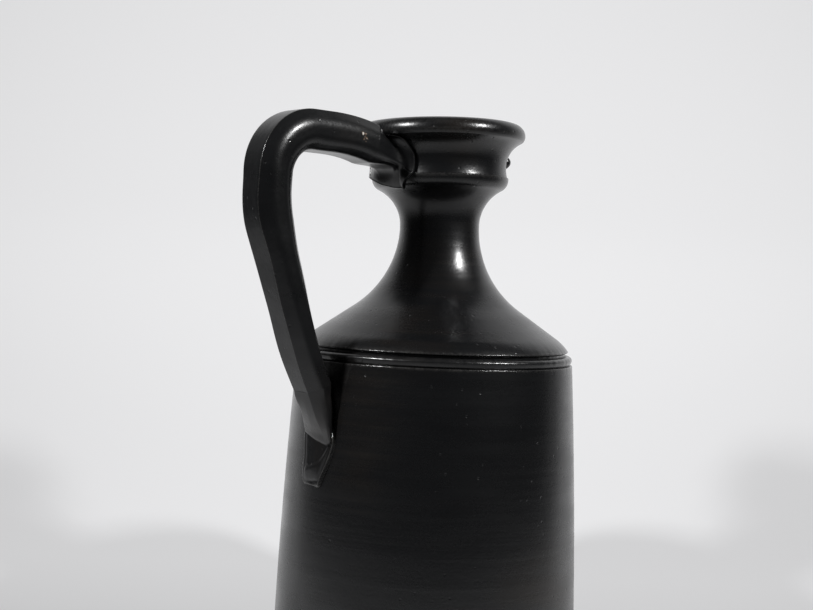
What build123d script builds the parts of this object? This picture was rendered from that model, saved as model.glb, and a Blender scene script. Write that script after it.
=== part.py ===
"""A black-gloss wine jug: thrown pieces and a faceted handle, luted together with slip.

The jug stands on z = 0 with the body's axis on +Z, and its handle points to -X. Sizes are in millimetres.
"""

import os
from math import acos, asin, atan2, cos, degrees, radians, sin, sqrt, tan

from build123d import *

# Film of slip that is left where curved faces are pressed together
slip_film = 0.2

# Foot ring
foot_height = 7.0
foot_radius = 57.5
foot_width = 9.0
foot_bevel = 1.6

# Body cup
wall_height = 128.2
wall_thickness = 5.0
floor_thickness = 6.0
heel_radius = 60.0
heel_height = 9.0
wall_foot_radius = 67.1
wall_top_radius = 61.4
wall_swell = 0.65
wall_edge_round = 1.0
floor_corner = 8.0

# Turned ridge on top of the wall
ridge_height = 4.2
ridge_setback = 0.2
ridge_groove = 1.6
ridge_width = 5.6

# Shoulder and neck
shoulder_setback = 3.0
shoulder_round = 0.8
shoulder_edge_height = 4.7
shoulder_slope = 55.4
neck_radius = 17.6
neck_thickness = 5.0
neck_sweep = 44.3

# Mouth, which leans towards the handle above the neck's waist
mouth_lean = 2.5
bowl_radius = 30.4
bowl_flare = 16.6
bowl_round = 5.2
bowl_rim = 1.6
collar_setback = 0.9
collar_thickness = 5.0
collar_foot = 4.7
scotia_radius = 12.5
scotia_turn = 61.6
lip_radius = 37.8
lip_round = 4.9
lip_low_angle = 45.0
lip_in_angle = 120.0

# Handle bar, an octagon carried along a bent line
handle_width = 19.2
handle_depth = 15.5
handle_low_depth = 11.0
outer_flat = 11.4
outer_chamfer = 4.6
inner_flat = 12.6
inner_chamfer = 4.0
handle_reach = 103.7
handle_rise = 44.3
handle_bend = 26.9
arm_arc = 90.6
arm_flat = 9.6
upright_length = 6.4
lean_arc = 44.3
bar_sections = 24

# Upper root of the handle, on the collar
root_standoff = 7.4
root_bury = 2.0
root_level = 8.0
root_slope = 32.0
root_spread = 2.0

# Lower end of the handle, on the wall
leaf_standoff = 9.4
leaf_seat_drop = 10.2
landing_turn = 8.0
leaf_thickness = 2.0
leaf_drop = 43.5
leaf_length = 32.0
leaf_tip_round = 1.6
leaf_tip_near = 1.9
leaf_tip_far = 8.8
leaf_wide_rise = 20.0
leaf_near_width = 9.8
leaf_far_width = 10.6

# Pellet on the collar
pellet_length = 6.4
pellet_width = 5.6
pellet_angle = -29.0
pellet_level = 8.0

# Heights and radii that follow from the sizes above
floor_top = foot_height + floor_thickness
wall_start = foot_height + heel_height
wall_top = foot_height + wall_height
wall_middle = (wall_start + wall_top) / 2
wall_middle_radius = (wall_foot_radius + wall_top_radius) / 2 + wall_swell
ridge_top = wall_top + ridge_height
ridge_middle = wall_top + ridge_height / 2
ridge_radius = wall_top_radius - ridge_setback
ridge_seat_radius = ridge_radius - ridge_groove
ridge_inner_radius = ridge_seat_radius - ridge_width
shoulder_radius = ridge_radius - shoulder_setback
shoulder_run = 1 / tan(radians(shoulder_slope))
cone_edge = shoulder_radius - shoulder_round
cone_start = neck_radius + neck_sweep * (1 - cos(radians(shoulder_slope)))
cone_height = (cone_edge - cone_start) * shoulder_run
cone_foot = ridge_top + shoulder_edge_height
waist_height = cone_foot + cone_height + neck_sweep * sin(radians(shoulder_slope))
neck_bore = neck_radius - neck_thickness

# The mouth's own heights, counted up its leaning axis from the neck's waist
bowl_turn = degrees(acos(1 - (bowl_radius - neck_radius) / (bowl_flare + bowl_round)))
bowl_height = (bowl_flare + bowl_round) * sin(radians(bowl_turn)) + bowl_rim
collar_radius = bowl_radius - collar_setback
collar_bore = collar_radius - collar_thickness
scotia_start = bowl_height + collar_foot

lean = radians(mouth_lean)
mouth_up = (-sin(lean), 0, cos(lean))
mouth_axis = Axis((0, 0, waist_height), mouth_up)
mouth_out = (cos(lean), 0, sin(lean))
mouth_seat = Plane(origin=(0, 0, waist_height), x_dir=mouth_out, z_dir=mouth_up)
mouth_plane = Plane(origin=(0, 0, waist_height), x_dir=mouth_out, z_dir=(0, -1, 0))

# The handle's plane: x runs out from the jug's axis and y runs up
handle_plane = Plane(origin=(0, 0, 0), x_dir=(-1, 0, 0), z_dir=(0, 1, 0))
arm_radius = arm_arc - handle_depth / 2
arm_level = waist_height + handle_rise - handle_depth / 2
upright_radius = handle_reach - handle_depth / 2
bend_radius = handle_bend - handle_depth / 2
arm_start = upright_radius - bend_radius - arm_flat
root_seat_radius = lip_radius + root_standoff
leaf_seat_radius = wall_top_radius + leaf_standoff
arm_turn = asin((arm_start - root_seat_radius) / arm_radius)
arm_tip = (root_seat_radius, arm_level - arm_radius * (1 - cos(arm_turn)))
arm_direction = (cos(arm_turn), sin(arm_turn))

# The run touches the easing arc and ends on the leaf's seat, which fixes how far it leans
leaf_seat_level = wall_top - leaf_seat_drop
upright_foot = arm_level - bend_radius - upright_length
seat_across = leaf_seat_radius - upright_radius + lean_arc
seat_down = upright_foot - leaf_seat_level
run_length = sqrt(seat_across**2 + seat_down**2 - lean_arc**2)
lean_angle = degrees(atan2(seat_down, seat_across) - atan2(run_length, lean_arc))

os.makedirs("parts", exist_ok=True)


def wall_line(outset):
    """Draws the swelling line of the wall upwards, moved out from its outer face."""
    return ThreePointArc(
        (wall_foot_radius + outset, wall_start),
        (wall_middle_radius + outset, wall_middle),
        (wall_top_radius + outset, wall_top - wall_edge_round),
    )


def bowl_outside():
    """Draws the mouth bowl's outer line: a cavetto, a round and a short upright rim."""
    flare = JernArc((neck_radius, 0), (0, 1), bowl_flare, -bowl_turn)
    belly = JernArc(flare @ 1, flare % 1, bowl_round, bowl_turn)
    Line(belly @ 1, (bowl_radius, bowl_height))


def collar_outside():
    """Draws the collar's outer line, an upright foot, a hollow and a rolled lip, and gives its end."""
    Line((collar_radius, bowl_height), (collar_radius, scotia_start))
    scotia = JernArc((collar_radius, scotia_start), (0, 1), scotia_radius, -scotia_turn)
    lip_center_radius = lip_radius - lip_round
    lip_edge = lip_center_radius + lip_round * cos(radians(lip_low_angle))
    lip_edge_level = (scotia @ 1).Y + (lip_edge - (scotia @ 1).X) / tan(radians(scotia_turn))
    Line(scotia @ 1, (lip_edge, lip_edge_level))
    lip_center = (lip_center_radius, lip_edge_level + lip_round * sin(radians(lip_low_angle)))
    lip = CenterArc(lip_center, lip_round, -lip_low_angle, lip_low_angle + lip_in_angle)
    return lip @ 1


def section_plane(point, direction):
    """Gives the plane across the bar at a point of its line, with y on the bar's outer side."""
    origin = handle_plane.from_local_coords(Vector(*point))
    forward = handle_plane.from_local_coords(Vector(*direction)) - handle_plane.origin
    return Plane(origin=origin, x_dir=(0, -1, 0), z_dir=forward)


def bar_section(plane, depth, spread=0):
    """Gives the bar's octagon on a plane: a narrow outer flat, chamfers, sides and an inner flat."""
    side = handle_width / 2 + spread
    top = depth / 2 + spread
    inner_cut = inner_chamfer * depth / handle_depth
    half = [
        (outer_flat / 2 + spread, top),
        (side, top - outer_chamfer),
        (side, inner_cut - top),
        (inner_flat / 2 + spread, -top),
    ]
    other_half = [(-x, y) for x, y in reversed(half)]
    with BuildSketch(plane) as section:
        with BuildLine():
            Polyline(*half, *other_half, close=True)
        make_face()
    return section.sketch


# Foot ring, with both lower corners bevelled
with BuildPart() as foot_ring:
    with BuildSketch(Plane.XZ):
        with Locations((foot_radius - foot_width / 2, foot_height / 2)):
            Rectangle(foot_width, foot_height)
        chamfer(vertices().group_by(Axis.Y)[0], foot_bevel)
    revolve(axis=Axis.Z)
foot_ring.part.label = "foot_ring"

# Body cup, floor and wall thrown in one
with BuildPart() as body:
    with BuildSketch(Plane.XZ):
        with BuildLine():
            outer_wall = wall_line(0)
            inner_wall = wall_line(-wall_thickness)
            TangentArc(outer_wall @ 0, (heel_radius, foot_height), tangent=outer_wall % 0 * -1)
            Line((heel_radius, foot_height), (0, foot_height))
            Line((0, foot_height), (0, floor_top))
            corner_start = ((inner_wall @ 0).X - floor_corner, floor_top)
            Line((0, floor_top), corner_start)
            Spline([corner_start, inner_wall @ 0], tangents=[(1, 0), inner_wall % 0])
            wall_edge = (wall_top_radius - wall_edge_round, wall_top)
            Polyline(inner_wall @ 1, ((inner_wall @ 1).X, wall_top), wall_edge)
            RadiusArc(wall_edge, outer_wall @ 1, wall_edge_round)
        make_face()
    revolve(axis=Axis.Z)
body.part.label = "body"

# Turned ridge, a ring with a round outer edge and a squeezed inner one
with BuildPart() as shoulder_ring:
    with BuildSketch(Plane.XZ):
        with BuildLine():
            outer_low, outer_high = (ridge_seat_radius, wall_top), (ridge_seat_radius, ridge_top)
            inner_low, inner_high = (ridge_inner_radius, wall_top), (ridge_inner_radius, ridge_top)
            ThreePointArc(outer_low, (ridge_radius, ridge_middle), outer_high)
            Line(outer_high, inner_high)
            ThreePointArc(inner_high, (ridge_inner_radius - ridge_groove, ridge_middle), inner_low)
            Line(inner_low, outer_low)
        make_face()
    revolve(axis=Axis.Z)
shoulder_ring.part.label = "shoulder_ring"

# Shoulder and neck, one funnel: a cone below, a sweep above, cut square to the mouth's axis
with BuildPart() as shoulder_neck:
    with BuildSketch(Plane.XZ):
        with BuildLine():
            neck_end = waist_height + neck_radius * tan(lean)
            Polyline(
                (neck_radius, waist_height),
                (neck_radius, neck_end),
                (neck_bore, neck_end),
                (neck_bore, waist_height),
            )
            outside = JernArc((neck_radius, waist_height), (0, -1), neck_sweep, shoulder_slope)
            inside_sweep = neck_sweep + neck_thickness
            inside = JernArc((neck_bore, waist_height), (0, -1), inside_sweep, shoulder_slope)
            Line(outside @ 1, (cone_edge, cone_foot))
            TangentArc((cone_edge, cone_foot), (shoulder_radius, ridge_top), tangent=outside % 1)
            inner_drop = (ridge_inner_radius - (inside @ 1).X) * shoulder_run
            Polyline(
                inside @ 1,
                (ridge_inner_radius, (inside @ 1).Y - inner_drop),
                (ridge_inner_radius, ridge_top),
                (shoulder_radius, ridge_top),
            )
        make_face()
    revolve(axis=Axis.Z)
    split(bisect_by=mouth_seat, keep=Keep.BOTTOM)
shoulder_neck.part.label = "shoulder_neck"

# Mouth bowl
with BuildPart() as mouth_bowl:
    with BuildSketch(mouth_plane):
        with BuildLine():
            bowl_outside()
            Line((bowl_radius, bowl_height), (collar_bore, bowl_height))
            TangentArc((neck_bore, 0), (collar_bore, bowl_height), tangent=(0, 1))
            Line((neck_bore, 0), (neck_radius, 0))
        make_face()
    revolve(axis=mouth_axis)
mouth_bowl.part.label = "mouth_bowl"

# Mouth collar with its rolled lip
with BuildPart() as mouth_collar:
    with BuildSketch(mouth_plane):
        with BuildLine():
            lip_end = collar_outside()
            TangentArc((collar_bore, scotia_start), lip_end, tangent=(0, 1))
            Polyline(
                (collar_bore, scotia_start),
                (collar_bore, bowl_height),
                (collar_radius, bowl_height),
            )
        make_face()
    revolve(axis=mouth_axis)
mouth_collar.part.label = "mouth_collar"

# The space that the mouth, its hollow and its film of slip take up, kept clear of what is pressed on
with BuildPart() as mouth_space:
    with BuildSketch(mouth_plane):
        with BuildLine():
            bowl_outside()
            Line((bowl_radius, bowl_height), (collar_radius, bowl_height))
            lip_end = collar_outside()
            Polyline(lip_end, (0, lip_end.Y), (0, 0), (neck_radius, 0))
        make_face()
        offset(amount=slip_film, kind=Kind.INTERSECTION)
        Rectangle(2 * lip_radius, 4 * lip_end.Y, align=(Align.MIN, Align.CENTER), mode=Mode.INTERSECT)
    revolve(axis=mouth_axis)

# The wall's space with its film of slip, and the jacket of clay that the leaf is cut from
with BuildPart() as wall_space:
    with BuildSketch(Plane.XZ):
        with BuildLine():
            face_line = wall_line(slip_film)
            Polyline(face_line @ 1, (0, (face_line @ 1).Y), (0, wall_start), face_line @ 0)
        make_face()
    revolve(axis=Axis.Z)
with BuildPart() as leaf_jacket:
    with BuildSketch(Plane.XZ):
        with BuildLine():
            under = wall_line(slip_film)
            over = wall_line(slip_film + leaf_thickness)
            Line(under @ 0, over @ 0)
            Line(under @ 1, over @ 1)
        make_face()
    revolve(axis=Axis.Z)

# Line of the handle, in its own plane: an arm, a bend, an upright, an easing and a slanting run
with BuildLine() as bar_line:
    arm = JernArc(arm_tip, arm_direction, arm_radius, -degrees(arm_turn))
    flat = Line(arm @ 1, arm @ 1 + Vector(arm_flat, 0))
    bend = JernArc(flat @ 1, (1, 0), bend_radius, -90)
    upright = Line(bend @ 1, bend @ 1 - Vector(0, upright_length))
    easing = JernArc(upright @ 1, (0, -1), lean_arc, -lean_angle)
    run = PolarLine(easing @ 1, run_length, direction=easing % 1)
bar_wire = bar_line.wire()
run_share = run.length / bar_wire.length

# Handle bar, lofted through octagons along its line and thinning down the run
bar_faces = []
for step in range(bar_sections):
    along = step / (bar_sections - 1)
    run_part = max(0, 1 - (1 - along) / run_share)
    depth = handle_depth - (handle_depth - handle_low_depth) * run_part
    bar_faces.append(bar_section(section_plane(bar_wire @ along, bar_wire % along), depth))
with BuildPart() as handle:
    loft(bar_faces)
handle.part.label = "handle"

# Upper root, spreading from the bar's end onto the collar
root_end = (collar_radius - root_bury, waist_height + bowl_height + root_level)
root_direction = (cos(radians(root_slope)), sin(radians(root_slope)))
root_near = bar_section(section_plane(arm_tip, arm_direction), handle_depth)
root_far = bar_section(section_plane(root_end, root_direction), handle_depth, root_spread)
with BuildPart() as handle_root:
    loft([root_near, root_far])
    add(mouth_space.part, mode=Mode.SUBTRACT)
handle_root.part.label = "handle_root"

# Lower end, a stub of the bar that lands on the wall and runs out into a leaf, skewed to the far side
landing = radians(lean_angle + landing_turn)
landing_direction = Vector(-sin(landing), -cos(landing))
stub_end = run @ 1 + landing_direction * leaf_drop
leaf_tip_level = leaf_seat_level - leaf_drop
stub_near = bar_section(section_plane(run @ 1, run % 1), handle_low_depth)
stub_far = bar_section(section_plane(stub_end, landing_direction), handle_low_depth)
with BuildPart() as handle_leaf:
    with BuildSketch(Plane.YZ.offset(-handle_reach)):
        with BuildLine():
            tip_near = (-leaf_tip_near, leaf_tip_level + leaf_tip_round)
            tip_middle = ((leaf_tip_far - leaf_tip_near) / 2, leaf_tip_level)
            tip_far = (leaf_tip_far, leaf_tip_level + leaf_tip_round)
            widest = (-leaf_near_width, leaf_tip_level + leaf_wide_rise)
            top_near = (-leaf_near_width, leaf_tip_level + leaf_length)
            top_far = (leaf_far_width, leaf_tip_level + leaf_length)
            ThreePointArc(tip_near, tip_middle, tip_far)
            TangentArc(widest, tip_near, tangent=(0, -1))
            Polyline(widest, top_near, top_far, tip_far)
        make_face()
    extrude(amount=handle_reach)
    add(leaf_jacket.part, mode=Mode.INTERSECT)
    loft([stub_near, stub_far])
    add(wall_space.part, mode=Mode.SUBTRACT)
handle_leaf.part.label = "handle_leaf"

# Pellet, a small spindle of clay half sunk behind the collar's film of slip
pellet_rise = asin((pellet_level - collar_foot) / scotia_radius)
pellet_radius = collar_radius + scotia_radius * (1 - cos(pellet_rise))
pellet_out = Vector(cos(radians(pellet_angle)), sin(radians(pellet_angle)))
pellet_place = pellet_out * pellet_radius + Vector(0, 0, bowl_height + pellet_level)
pellet_center = mouth_seat.from_local_coords(pellet_place)
pellet_plane = Plane(origin=pellet_center, x_dir=pellet_out, z_dir=pellet_out.cross(Vector(0, 0, 1)))
with BuildPart() as mouth_pellet:
    with BuildSketch(pellet_plane):
        with BuildLine():
            ends = ((0, -pellet_length / 2), (0, pellet_length / 2))
            ThreePointArc(ends[0], (pellet_width / 2, 0), ends[1])
            Line(*ends)
        make_face()
    revolve(axis=Axis(pellet_center, (0, 0, 1)))
    add(mouth_space.part, mode=Mode.SUBTRACT)
mouth_pellet.part.label = "mouth_pellet"

pieces = [
    foot_ring,
    body,
    shoulder_ring,
    shoulder_neck,
    mouth_bowl,
    mouth_collar,
    handle,
    handle_root,
    handle_leaf,
    mouth_pellet,
]
for piece in pieces:
    export_step(piece.part, f"parts/{piece.part.label}.step")
    print(piece.part.label, round(piece.part.volume), piece.part.bounding_box())
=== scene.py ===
# %% [markdown]
# # A black-gloss wine jug
# The jug was thrown in parts on a wheel, luted together with slip and given a handle pared from a clay bar.
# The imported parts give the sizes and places, and this file gives every part its finished surface.
# Each surface is worked out with numpy as a grid of points, so a curve of the pot is a formula here.

import bpy
import numpy as np
from mathutils import Matrix, Vector


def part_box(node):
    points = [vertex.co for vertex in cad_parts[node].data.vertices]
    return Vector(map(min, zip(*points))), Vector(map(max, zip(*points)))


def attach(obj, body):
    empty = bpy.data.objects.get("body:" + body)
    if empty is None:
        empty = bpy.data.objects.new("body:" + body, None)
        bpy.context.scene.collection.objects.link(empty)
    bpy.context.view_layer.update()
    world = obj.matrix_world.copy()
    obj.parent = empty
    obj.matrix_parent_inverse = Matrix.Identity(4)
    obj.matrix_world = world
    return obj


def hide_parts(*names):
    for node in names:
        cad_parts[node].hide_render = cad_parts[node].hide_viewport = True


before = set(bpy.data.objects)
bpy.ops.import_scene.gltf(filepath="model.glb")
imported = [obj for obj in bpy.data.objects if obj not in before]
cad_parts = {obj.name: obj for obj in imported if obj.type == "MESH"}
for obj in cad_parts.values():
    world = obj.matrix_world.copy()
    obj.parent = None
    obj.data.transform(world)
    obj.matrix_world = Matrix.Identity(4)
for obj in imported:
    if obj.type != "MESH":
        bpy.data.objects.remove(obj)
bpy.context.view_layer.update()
print("parts in the frame:", sorted(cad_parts))

# %% [markdown]
# ## Sizes
# Blender works in metres, and a potter's sizes are easier to read in millimetres.
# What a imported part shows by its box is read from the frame, and the curves between are named where they
# are first drawn.

# %% Sizes read from the frame, in millimetres
MM = 0.001


def extent(node):
    """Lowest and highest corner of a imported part, in millimetres."""
    low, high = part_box(node)
    return np.array(low) / MM, np.array(high) / MM


foot_radius, _, foot_height = extent("foot_ring")[1]
wall_top = extent("body")[1][2]
ridge_radius, _, ridge_top = extent("shoulder_ring")[1]
bowl_radius = extent("mouth_bowl")[1][1]
lip_radius = extent("mouth_collar")[1][1]
bar_half = extent("handle")[1][1]
print("ridge", round(ridge_radius, 1), "lip", round(lip_radius, 1), "half bar", round(bar_half, 1))

# %% [markdown]
# ## Camera
# The picture was taken from a little below the mouth, from the handle's side, with the jug's foot cut off.
# The camera could be pointed with a constraint, but here its axes are worked out as three vectors: first
# the view straight at the jug's axis, then a small swing sideways, a dip and a roll.

# %% Camera at the picture's angle
PICTURE = np.array([813, 610])
view_side = np.radians(-42.729)
view_swing, view_dip, view_roll = np.radians([-1.191, 1.492, 2.316])
camera_far, camera_height, focus_pixels = 647.2, 175.9, 1443.75
UP = np.array([0.0, 0.0, 1.0])
to_camera = np.array([np.sin(view_side), -np.cos(view_side), 0.0])
away, aside = -to_camera, np.array([np.cos(view_side), np.sin(view_side), 0.0])


def swung(first, second, angle):
    """Two directions at right angles, turned in their plane so that the first goes towards the second."""
    c, s = np.cos(angle), np.sin(angle)
    return c * first + s * second, c * second - s * first


def new_object(name, data):
    """Puts a camera, lamp or mesh into the scene as an object."""
    made = bpy.data.objects.new(name, data)
    bpy.context.scene.collection.objects.link(made)
    return made


level, side = swung(away, aside, view_swing)
upward, forward = swung(UP, level, view_dip)
right, top = swung(side, upward, view_roll)

lens = bpy.data.cameras.new("camera")
lens.sensor_fit, lens.sensor_width = "HORIZONTAL", 36.0
lens.lens = focus_pixels * lens.sensor_width / PICTURE[0]
lens.clip_start, lens.clip_end = 0.01, 20.0
camera = new_object("camera", lens)
place = to_camera * camera_far + UP * camera_height
axes = np.eye(4)
axes[:3] = np.column_stack([right, top, -forward, place * MM])
camera.matrix_world = Matrix(axes.tolist())
bpy.context.scene.camera = camera
bpy.context.scene.view_settings.view_transform = "Standard"
print("lens", round(lens.lens, 2), "mm, camera at", np.round(place), "mm")

# %% [markdown]
# ## Shader maths
# Finishes are built from nodes, and long node chains are hard to read as calls.
# So one small class wraps a socket: plus, minus and times on it add Math nodes, and its node method adds
# any other kind, with the node's settings first and then what goes into its sockets.

# %% A socket with operators
class Field:
    """A value that changes over a surface, held as the socket that gives it."""

    def __init__(self, tree, socket=None):
        self.tree, self.socket = tree, socket

    def node(self, kind, settings, inputs, output=0):
        """Adds a shader node, sets it, fills its sockets with numbers or links, and wraps one output."""
        added = self.tree.nodes.new("ShaderNode" + kind)
        for name, value in settings.items():
            setattr(added, name, value)
        for name, value in inputs.items():
            if isinstance(value, Field):
                self.tree.links.new(value.socket, added.inputs[name])
            else:
                added.inputs[name].default_value = value
        return Field(self.tree, added.outputs[output] if added.outputs else None)

    def math(self, operation, first, second):
        return self.node("Math", {"operation": operation}, {0: first, 1: second})

    def __add__(self, other):
        return self.math("ADD", self, other)

    def __sub__(self, other):
        return self.math("SUBTRACT", self, other)

    def __rsub__(self, other):
        return self.math("SUBTRACT", other, self)

    def __mul__(self, other):
        return self.math("MULTIPLY", self, other)

    __radd__ = __add__
    __rmul__ = __mul__


def new_tree(holder):
    """Empties the node tree of a material or world and gives a field to build from."""
    holder.use_nodes = True
    holder.node_tree.nodes.clear()
    return Field(holder.node_tree)


print("fields add, subtract and multiply")

# %% [markdown]
# ## Floor, backdrop and light
# The jug stands on a pale sweep, a sheet that runs under it and curves up behind, so no edge shows.
# Plain paint takes the jug's shadow, and a share of glow is seen only by the camera and in reflections,
# because a real sweep is lit by more lamps than the jug is. The glow fades to the front, sides and top, so
# the jug mirrors dark there, and from behind the sheet is clear. Two soft boxes stand in front, left and
# right, and the room behind the camera is dark, which is why the front of the jug looks black.

# %% Sweep behind and under the jug
sweep_near, sweep_far, sweep_bend, sweep_high, sweep_half = -620, 45, 210, 1100, 1000
sweep_arc = sweep_bend * np.pi / 2
SWEEP_ROWS, SWEEP_COLUMNS = 220, 9


def sweep_sheet(along, across):
    """Floor out to sweep_far, a quarter circle of radius sweep_bend, then a wall, by length along it."""
    turn = np.clip((along - sweep_far) / sweep_bend, 0, np.pi / 2)
    over = np.clip(along - sweep_far - sweep_arc, 0, None)
    reach = np.minimum(along, sweep_far) + sweep_bend * np.sin(turn)
    height = sweep_bend * (1 - np.cos(turn)) + over
    return reach[..., None] * away + across[..., None] * aside + height[..., None] * UP


def grid_quads(rows, columns, wrap_rows=False, wrap_columns=True):
    """Quads between neighbours of a grid that may close on itself both ways, as rows of four numbers."""
    spans = np.arange(rows - (not wrap_rows)), np.arange(columns - (not wrap_columns))
    i, j = np.meshgrid(*spans, indexing="ij")
    below, beside = (i + 1) % rows, (j + 1) % columns
    corners = [i * columns + j, i * columns + beside, below * columns + beside, below * columns + j]
    return np.stack(corners, axis=-1).reshape(-1, 4)


sweep_end = sweep_far + sweep_arc + sweep_high
sweep_along = np.linspace(sweep_near, sweep_end, SWEEP_ROWS)
sweep_across = np.linspace(-sweep_half, sweep_half, SWEEP_COLUMNS)
sweep_points = sweep_sheet(*np.meshgrid(sweep_along, sweep_across, indexing="ij")).reshape(-1, 3)
sweep_quads = grid_quads(SWEEP_ROWS, SWEEP_COLUMNS, False, False)
sweep_mesh = bpy.data.meshes.new("sweep")
sweep_mesh.from_pydata(sweep_points * MM, [], sweep_quads.tolist())
sweep_mesh.shade_smooth()
sweep = new_object("sweep", sweep_mesh)
print("sweep", len(sweep_mesh.polygons), "faces")

# %% Pale paint with a glow
SWEEP_PAINT, SWEEP_GLOW = (0.33, 0.33, 0.335, 1), (0.99, 0.99, 1.0, 1)
floor_glow, wall_glow, side_glow = 0.47, 0.13, 0.30


def ease(value, low, high):
    """0 at low, 1 at high and a smooth step between, where low may also be the larger of the two."""
    inputs = {"Value": value, "From Min": low, "From Max": high}
    return value.node("MapRange", {"interpolation_type": "SMOOTHSTEP"}, inputs)


def part_along(place, direction):
    """How far a place lies along a unit direction, in metres."""
    inputs = {0: place, 1: list(direction)}
    return place.node("VectorMath", {"operation": "DOT_PRODUCT"}, inputs, "Value")


paper = bpy.data.materials.new("pale_sweep")
build = new_tree(paper)
seen = build.node("LightPath", {}, {}, "Is Camera Ray")
mirrored = Field(seen.tree, seen.socket.node.outputs["Is Glossy Ray"])
through = Field(seen.tree, seen.socket.node.outputs["Is Transmission Ray"])
on_sheet = build.node("TexCoord", {}, {}, "Object")
far_back = part_along(on_sheet, away)
high_up = part_along(on_sheet, UP)
far_aside = build.math("ABSOLUTE", part_along(on_sheet, aside), 0.0)
floor_range = {"Value": far_back, "From Min": -0.50, "From Max": 0.12, "To Max": floor_glow}
glow_floor = build.node("MapRange", {}, floor_range)
glow_wall = wall_glow * ease(high_up, 0.02, 0.20)
below_top = ease(high_up, 0.95, 0.55)
in_middle = side_glow + (1 - side_glow) * ease(far_aside, 0.60, 0.28)
strength = (glow_floor + glow_wall) * below_top * in_middle
painted = build.node("BsdfDiffuse", {}, {"Color": SWEEP_PAINT})
glow = build.node("Emission", {}, {"Color": SWEEP_GLOW, "Strength": strength})
lit = build.node("AddShader", {}, {0: painted, 1: glow})
either = build.node("MixShader", {}, {"Fac": seen + mirrored + through, 1: painted, 2: lit})
from_behind = build.node("NewGeometry", {}, {}, "Backfacing")
clear = build.node("BsdfTransparent", {}, {})
one_sided = build.node("MixShader", {}, {"Fac": from_behind, 1: either, 2: clear})
build.node("OutputMaterial", {}, {"Surface": one_sided})
sweep_mesh.materials.append(paper)
print("sweep paint", SWEEP_PAINT[:3])

# %% Two soft boxes and a dim room
box_rise, box_far, box_spread, box_aim = 36, 1000, 60, 140
box_left, box_right = -52, 60
box_size, box_power = (0.07, 0.12), 0.95
ROOM_GREY = (0.036, 0.036, 0.037, 1)


def soft_box(name, turn):
    """An area lamp at an angle beside the camera's line, box_rise degrees up, facing the jug's middle."""
    flat, _ = swung(to_camera, aside, np.radians(turn))
    toward, _ = swung(flat, UP, np.radians(box_rise))
    lamp = bpy.data.lights.new(name, "AREA")
    lamp.shape, lamp.size, lamp.size_y = "RECTANGLE", *box_size
    lamp.energy, lamp.spread = box_power, np.radians(box_spread)
    stand = Vector((toward * box_far + UP * box_aim) * MM)
    facing = Vector(toward).to_track_quat("Z", "Y").to_matrix().to_4x4()
    new_object(name, lamp).matrix_world = Matrix.Translation(stand) @ facing


soft_box("soft_box_left", box_left)
soft_box("soft_box_right", box_right)
room = bpy.data.worlds.new("dim_room")
bpy.context.scene.world = room
build = new_tree(room)
dim = build.node("Background", {}, {"Color": ROOM_GREY, "Strength": 1.0})
build.node("OutputWorld", {}, {"Surface": dim})
print("two lamps of", box_power, "W")

# %% [markdown]
# ## Black slip
# The black is a thin slip of fine clay that fused in the kiln: almost black, a little blue where it is
# thick and brown where it is thin, with a soft gloss. The brush and the wheel left level streaks in it,
# and dust and burst bubbles left pits. Hands have rubbed the edges grey, and the same grey is painted along
# some edges and bands as painted highlight and reflection lines. A chip on the handle shows the clay.
# A painted picture could show that, but noise at Object coordinates gives it on every part without a seam,
# at its real size. Where an edge carries the rubbed grey and painted light lines, or is bare, is an
# attribute of each part's mesh.

# %% The slip's nodes
SLIP_BLUE = (0.0038, 0.0040, 0.0045, 1)
SLIP_BROWN = (0.0085, 0.0066, 0.0052, 1)
# Grey of rubbed edges; the same grey also paints highlight and reflection lines along edges and bands.
RUBBED_AND_SHEEN = (0.032, 0.031, 0.030, 1)
CLAY = (0.11, 0.066, 0.038, 1)
PALE_CLAY = (0.66, 0.62, 0.57, 1)


def noise(vector, scale, detail=2.0, rough=0.5):
    """Smooth noise from 0 to 1, with scale in waves per metre of the vector."""
    inputs = {"Vector": vector, "Scale": scale, "Detail": detail, "Roughness": rough}
    return vector.node("TexNoise", {}, inputs)


def blend(share, first, second):
    """A colour between two, by a share from 0 to 1."""
    inputs = {0: share, 6: first, 7: second}
    return share.node("Mix", {"data_type": "RGBA"}, inputs, 2)


def stretched(vector, scale):
    """The vector with each axis multiplied, which draws noise out along the axes with a small number."""
    return vector.node("VectorMath", {"operation": "MULTIPLY"}, {0: vector, 1: scale})


def spot(place, center, radius):
    """1 at a place on the jug, in millimetres, falling smoothly to 0 at a radius."""
    inputs = {0: place, 1: [value * MM for value in center]}
    far = place.node("VectorMath", {"operation": "DISTANCE"}, inputs, "Value")
    return 1 - ease(far, 0.25 * radius * MM, radius * MM)


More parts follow.
